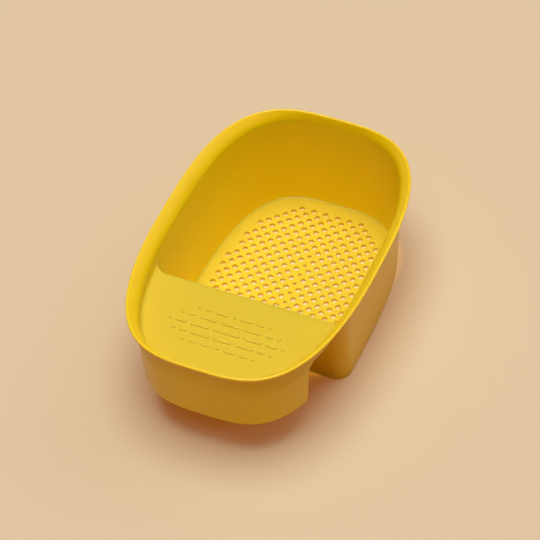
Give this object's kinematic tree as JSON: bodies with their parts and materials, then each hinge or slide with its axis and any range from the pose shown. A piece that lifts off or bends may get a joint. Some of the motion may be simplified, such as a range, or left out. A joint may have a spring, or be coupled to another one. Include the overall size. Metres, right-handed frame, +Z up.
{
  "type": "sink drain basket",
  "caption": "Moulded saddle drain basket: a deep bowl with a perforated floor, and a ribbed shelf and apron that straddle a sink divider.",
  "frame": {"origin": "middle of the rim's outline, on the table that the bowl's lower edge stands on", "axes": "+Z up, +Y from the apron towards the back of the bowl, +X to the right as seen from the apron"},
  "size_m": [0.173, 0.268, 0.0966],
  "materials": {
    "rim_plastic": "satin yellow polypropylene, as moulded",
    "bowl_plastic": "satin yellow polypropylene, as moulded",
    "floor_plastic": "satin yellow polypropylene, as moulded"
  },
  "bodies": {
    "root": {"rim_flare": "rim_plastic", "bowl_wall": "bowl_plastic", "saddle_wall": "bowl_plastic", "recess_wall": "bowl_plastic", "strainer_floor": "floor_plastic", "sponge_shelf": "floor_plastic", "apron": "bowl_plastic"}
  },
  "joints": []
}
